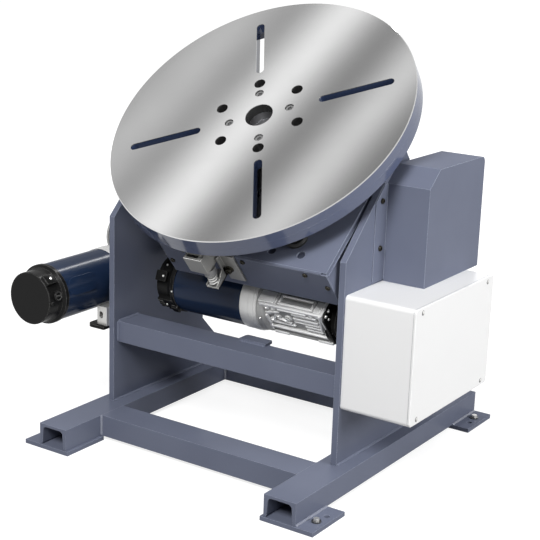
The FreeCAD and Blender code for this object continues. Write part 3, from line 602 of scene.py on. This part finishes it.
# Table plate, skirt and screws.
# Face-turned 20 mm steel plate with a bright chamfer, its rim, slots and skirt sprayed with enamel;
# four socket screws hold it to the spindle.
rim_colour, rim_specular, rim_gloss = (0.080, 0.096, 0.160), 0.42, 0.09
rim_enamel = coated("enamel_on_table_rim", rim_colour, drift=0.3, peel=0.03, rim=0.0,
                    gloss=(rim_gloss, rim_gloss + 0.03), specular=rim_specular)
finish_nodes(rim_enamel, ["table_skirt"])
dull_steel = coated("dull_socket_screws", (0.20, 0.20, 0.20), drift=0.3, peel=0.05, edge=0.0005, rim=0.1,
                    metallic=0.2)
finish_nodes(dull_steel, ["table_screws"])


def turned_plate():
    """Bright steel on the face and its chamfer, which end a little below the face; under that, painted shade:
    near black in the holes near the middle and a darker navy in the slots; enamel on the rim. Fine turned
    rings: bump height = sin(2 pi r / pitch)."""
    material = bpy.data.materials.new("face_turned_steel")
    material.use_nodes = True
    nodes, links = material.node_tree.nodes, material.node_tree.links
    shader = nodes["Principled BSDF"]
    place = nodes.new("ShaderNodeTexCoord").outputs["Object"]
    offset = vectored(nodes, links, "SUBTRACT", "Vector", place, tuple(table_centre))
    height = vectored(nodes, links, "DOT_PRODUCT", "Value", offset, tuple(table_out))
    radius = vectored(nodes, links, "LENGTH", "Value", offset)
    paint_ends, steel_starts = -0.0017, -0.0012
    holes_end, slots_start, slots_end, rim_starts = 0.104, 0.110, 0.2870, 0.2885
    face = ramp(nodes, links, height, paint_ends, steel_starts)
    near = ramp(nodes, links, radius, slots_start, holes_end)
    near_not = ramp(nodes, links, radius, holes_end, slots_start)
    skin = nodes.new("ShaderNodeGroup")
    skin.node_tree = skin_group
    skin.inputs["Base"].default_value = (*rim_colour, 1.0)
    skin.inputs["Rim"].default_value = 0.0
    skin.inputs["Edge"].default_value = 0.0004
    # Painted shade: the slot walls a darker navy than the rim, the holes near the middle near black.
    slot = mathed(nodes, links, "MULTIPLY", ramp(nodes, links, radius, rim_starts, slots_end), near_not)
    slot_walls_painted_shade = mixed(nodes, links, slot, skin.outputs["Color"], (0.034, 0.050, 0.105))
    under = mixed(nodes, links, near, slot_walls_painted_shade, (0.032, 0.032, 0.032))
    clouds_a_metre = 9.0
    cloud = noise(nodes, links, place, clouds_a_metre, 3.0)
    clouded = ramp(nodes, links, cloud, 0.35, 0.65)
    steel = mixed(nodes, links, clouded, (0.600, 0.600, 0.600), (0.625, 0.625, 0.625))
    links.new(mixed(nodes, links, face, under, steel), shader.inputs["Base Color"])
    links.new(face, shader.inputs["Metallic"])
    shader.inputs["Specular IOR Level"].default_value = rim_specular
    steel_gloss, ring_pitch = 0.085, 0.0016
    links.new(ramp(nodes, links, face, 0, 1, rim_gloss, steel_gloss), shader.inputs["Roughness"])
    rings = mathed(nodes, links, "SINE", mathed(nodes, links, "MULTIPLY", radius, 2 * math.pi / ring_pitch))
    ring_strength, ring_height = 0.02, 0.00002
    bump = nodes.new("ShaderNodeBump")
    bump.inputs["Strength"].default_value = ring_strength
    bump.inputs["Distance"].default_value = ring_height
    links.new(mathed(nodes, links, "MULTIPLY", rings, face), bump.inputs["Height"])
    links.new(bump.outputs["Normal"], shader.inputs["Normal"])
    return material


finish_nodes(turned_plate(), ["table_plate"])

# Earthing brush.
# A bent and plated steel bracket, screwed to the front cover, carries a block whose shoe runs on the
# skirt's underside; a wound wire spring on the bracket's foot presses it up through a turned cup.
plated = coated("dull_plated_steel", (0.30, 0.297, 0.285), drift=0.6, peel=0.1, edge=0.0008, rim=0.6,
                metallic=0.3, gloss=(0.34, 0.44), glint=(0.85, 0.84, 0.80))
finish_nodes(plated, ["brush_block"])


def slab(low, high, rise=0.5):
    """A plate between two corners, with a small bevel on its outer arrises."""
    low, high = np.array(low, float), np.array(high, float)
    middle, half = (low + high) / 2, (high - low) / 2
    corner = min(rise, half[0], half[1])
    return pad(middle, (0, 0, 1), (1, 0, 0), half[0], half[1], corner, half[2], rise, -half[2])


bracket_plates = [slab((20, -264, -152), (54, -260, -83)), slab((20, -273, -133), (24, -262, -83)),
                  slab((-2, -303.5, -134), (24, -262, -131)), slab((-2, -303, -132), (0.5, -294, -126))]
gusset = np.array([(-303.5, -134), (-302, -126), (-281, -116), (-272, -112), (-266, -112), (-266, -134)])
bracket_plates.append(np.array([np.column_stack((np.full(6, x), gusset)) for x in (21.4, 24.0)]))
bracket = shell("bent_brush_bracket", bracket_plates, table_axes, plated, "tilt_body")
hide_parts("brush_bracket")
# A bright strip along the brush block's front edge, a painted highlight, and a thin black sheet behind it,
# painted shade on the block's top under the skirt.
shell("brush_edge_painted_highlight", [slab((-20.5, -301.8, -56.4), (17.5, -299.4, -55.2))], table_axes, bright, "brush")
shell("brush_top_painted_shade", [slab((-17, -297.5, -56.4), (8, -289, -55.6))], table_axes, black, "brush")


def coil(place, way, radius, wire, low, high, turns):
    """A wound wire: its centre at angle a lies at radius * (cos a, sin a) and height low + a share of
    the rise; the wire's section is a circle across the wire's direction."""
    angle = np.linspace(0, 2 * np.pi * turns, 14 * turns + 1)[:, None]
    lift = (high - low) / (2 * np.pi * turns)
    out = np.concatenate((np.cos(angle), np.sin(angle), 0 * angle), axis=1)
    run = np.concatenate((-radius * np.sin(angle), radius * np.cos(angle), 0 * angle + lift), axis=1)
    run /= np.linalg.norm(run, axis=1)[:, None]
    across = np.cross(run, out)
    path = radius * out + np.concatenate((0 * angle, 0 * angle, low + lift * angle), axis=1)
    turn = np.linspace(0, 2 * np.pi, 8, endpoint=False)[None, :, None]
    rings = path[:, None] + wire * (np.cos(turn) * out[:, None] + np.sin(turn) * across[:, None])
    return np.array(place, float) + rings @ upright(way, (1, 0, 0))


spring_foot, spring_way = (12, -294.5, -131), (-0.02, 0.16, 1)
spring_height, brush_travel, spring_radius, wire_radius, turns = 35.0, 4.0, 8.0, 1.8, 6
spring_wire = coil(spring_foot, spring_way, spring_radius, wire_radius, wire_radius, spring_height, turns)
spring = shell("brush_coil_spring", [spring_wire], table_axes, zinc, "tilt_body")
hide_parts("brush_spring")
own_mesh(spring)
cup_profile = [(10.8, 38), (10.8, 25), (11.2, 24.4), (11.8, 25), (11.8, 38)]
cup = turned(cup_profile, spring_foot, spring_way, columns=40)
shell("brush_spring_cup", [np.concatenate((cup, cup[:1]))], table_axes, dull_steel, "brush")
screw_head = [(6.6, -0.5), (6.6, 7), (6, 8), (3.6, 8), (3.3, 5), (0.4, 5)]
screw_washer = [(8.2, -0.5), (8.2, 1.2), (6, 1.4)]
screw_parts = [turned(profile, (32, -264, -121), (0, -1, 0)) for profile in (screw_head, screw_washer)]
shell("bracket_screw", screw_parts, table_axes, dark_screw, "tilt_body")

# Floor, backdrop, lamps and camera.
# A white studio floor that keeps a soft shadow, soft lamps in front, to the right, above and behind,
# the photograph's viewpoint, and a striped reflector over the table.


def glow(nodes, links, strength):
    """White light of a strength that a socket gives."""
    light = nodes.new("ShaderNodeEmission")
    light.inputs["Color"].default_value = (1, 1, 1, 1)
    links.new(strength, light.inputs["Strength"])
    return light.outputs["Emission"]


def plainly_seen(nodes, links):
    """1 for rays that come from the camera, from a mirror or through glass, and 0 for the others."""
    rays = nodes.new("ShaderNodeLightPath").outputs
    mirrored = mathed(nodes, links, "MAXIMUM", rays["Is Glossy Ray"], rays["Is Transmission Ray"])
    return mathed(nodes, links, "MAXIMUM", rays["Is Camera Ray"], mirrored)


def sheet(name, corners, material):
    """A flat studio piece with four corners."""
    mesh = bpy.data.meshes.new(name)
    mesh.from_pydata([tuple(corner) for corner in corners], [], [(0, 1, 2, 3)])
    mesh.materials.append(material)
    piece = bpy.data.objects.new(name, mesh)
    bpy.context.collection.objects.link(piece)
    return piece


floor_paint = bpy.data.materials.new("studio_white")
floor_paint.use_nodes = True
nodes, links = floor_paint.node_tree.nodes, floor_paint.node_tree.links
distance = vectored(nodes, links, "LENGTH", "Value", nodes.new("ShaderNodeTexCoord").outputs["Object"])
shade_ends, white_starts, shade_level = 0.7, 2.6, 0.82
paleness = ramp(nodes, links, distance, shade_ends, white_starts, shade_level, 1.0)
paint = nodes["Principled BSDF"]
paint.inputs["Base Color"].default_value = (0.32, 0.32, 0.32, 1)
paint.inputs["Roughness"].default_value = 0.9
paint.inputs["Specular IOR Level"].default_value = 0.0
floor_glow = mathed(nodes, links, "MULTIPLY", plainly_seen(nodes, links), paleness)
lifted = nodes.new("ShaderNodeAddShader")
links.new(paint.outputs["BSDF"], lifted.inputs[0])
links.new(glow(nodes, links, floor_glow), lifted.inputs[1])
links.new(lifted.outputs["Shader"], nodes["Material Output"].inputs["Surface"])
floor_reach = 30.0
floor_corners = [(floor_reach * x, floor_reach * y, 0) for x, y in ((-1, -1), (1, -1), (1, 1), (-1, 1))]
sheet("studio_floor", floor_corners, floor_paint)

world = bpy.data.worlds.new("studio")
bpy.context.scene.world = world
world.use_nodes = True
nodes, links = world.node_tree.nodes, world.node_tree.links
room_light, background_white = 0.18, 1.0
nodes["Background"].inputs["Color"].default_value = (1, 1, 1, 1)
links.new(ramp(nodes, links, plainly_seen(nodes, links), 0, 1, room_light, background_white),
          nodes["Background"].inputs["Strength"])


def lamp(name, place, target, size, watts, mirrored=True):
    """A soft rectangular lamp at a place, turned to its target."""
    light = bpy.data.lights.new(name, "AREA")
    light.shape = "RECTANGLE"
    light.size, light.size_y = size
    light.energy = watts
    softbox = bpy.data.objects.new(name, light)
    aim = (Vector(target) - Vector(place)).to_track_quat("-Z", "Y")
    softbox.matrix_world = Matrix.Translation(place) @ aim.to_matrix().to_4x4()
    softbox.visible_camera = False
    softbox.visible_glossy = mirrored
    bpy.context.collection.objects.link(softbox)


part_middle = (0, 0, 0.35)
lamp("right", (3.3, 0.1, 1.6), part_middle, (1.6, 1.6), 88)
lamp("front", (0.7, -2.9, 2.9), part_middle, (1.4, 1.4), 150)
lamp("overhead", (1.2, -0.2, 3.2), part_middle, (1.2, 1.2), 14)
lamp("rear_fill", (-2.4, 2.4, 1.5), part_middle, (1.6, 1.6), 36, mirrored=False)
lamp("rear_strip", (-0.75, 2.72, 2.96), (-0.33, -0.2, 0.28), (0.28, 1.8), 34)

azimuth, elevation, roll = math.radians(33.528), math.radians(15.233), math.radians(1.970)
view = Vector((-math.sin(azimuth) * math.cos(elevation), math.cos(azimuth) * math.cos(elevation),
               -math.sin(elevation)))
level = Vector((math.cos(azimuth), math.sin(azimuth), 0))
rise = level.cross(view)
across = level * math.cos(roll) + rise * math.sin(roll)
upward = rise * math.cos(roll) - level * math.sin(roll)
camera_data = bpy.data.cameras.new("camera")
camera_data.lens = 89.64
camera_data.sensor_width = 36.0
camera = bpy.data.objects.new("camera", camera_data)
turn = Matrix((across, upward, -view)).transposed().to_4x4()
camera_place = Vector((1.38185, -2.09392, 1.01436))
camera.matrix_world = Matrix.Translation(camera_place) @ turn
bpy.context.collection.objects.link(camera)
bpy.context.scene.camera = camera
bpy.context.scene.view_settings.view_transform = "Standard"

# Striped reflector over the table.
# A studio card of soft light and dark bands, hung parallel to the table at rest where the viewpoint
# sees it mirrored in the turned face. Only glossy rays find it.
stripe_turn = math.radians(78)
table_side = np.array((1.0, 0, 0))
stripe_along = math.cos(stripe_turn) * table_side + math.sin(stripe_turn) * table_up
stripe_across = math.sin(stripe_turn) * table_side - math.cos(stripe_turn) * table_up
eye = np.array(camera_place)
eye_height = np.dot(eye - table_centre, table_out)
mirror_eye = eye - 2 * eye_height * table_out
card_height, card_half, band_reach, brightest = 2.0, 0.42, 0.35, 2.0
scale = (eye_height + card_height) / eye_height
card_centre = mirror_eye + (table_centre - mirror_eye) * scale
stripes = ((-0.30, 0.56), (-0.245, 0.84), (-0.20, 0.87), (-0.130, 0.37), (-0.095, 0.54), (-0.055, 1.04),
           (-0.02, 1.54), (0.01, 1.44), (0.045, 0.82), (0.08, 0.37), (0.115, 0.26), (0.15, 0.44),
           (0.205, 1.36), (0.245, 0.70), (0.28, 0.28))
card_paint = bpy.data.materials.new("striped_reflector")
card_paint.use_nodes = True
nodes, links = card_paint.node_tree.nodes, card_paint.node_tree.links
nodes.remove(nodes["Principled BSDF"])
place = nodes.new("ShaderNodeTexCoord").outputs["Object"]
offset = vectored(nodes, links, "SUBTRACT", "Vector", place, tuple(card_centre))
travel = vectored(nodes, links, "DOT_PRODUCT", "Value", offset, tuple(stripe_across / scale))
bands = nodes.new("ShaderNodeValToRGB")
bands.color_ramp.interpolation = "B_SPLINE"
links.new(ramp(nodes, links, travel, -band_reach, band_reach), bands.inputs["Fac"])
while len(bands.color_ramp.elements) < len(stripes):
    bands.color_ramp.elements.new(0.5)
for element, (spot, value) in zip(bands.color_ramp.elements, stripes):
    element.position = (spot + band_reach) / (2 * band_reach)
    element.color = (*(value / brightest,) * 3, 1)
glossy = nodes.new("ShaderNodeLightPath").outputs["Is Glossy Ray"]
clear = nodes.new("ShaderNodeBsdfTransparent")
choice = nodes.new("ShaderNodeMixShader")
card_glow = mathed(nodes, links, "MULTIPLY", bands.outputs["Color"], brightest)
links.new(glossy, choice.inputs["Fac"])
links.new(clear.outputs["BSDF"], choice.inputs[1])
links.new(glow(nodes, links, card_glow), choice.inputs[2])
links.new(choice.outputs["Shader"], nodes["Material Output"].inputs["Surface"])
card_corners = [card_centre + card_half * scale * (i * stripe_across + j * stripe_along)
                for i, j in ((-1, -1), (1, -1), (1, 1), (-1, 1))]
sheet("striped_reflector", card_corners, card_paint)
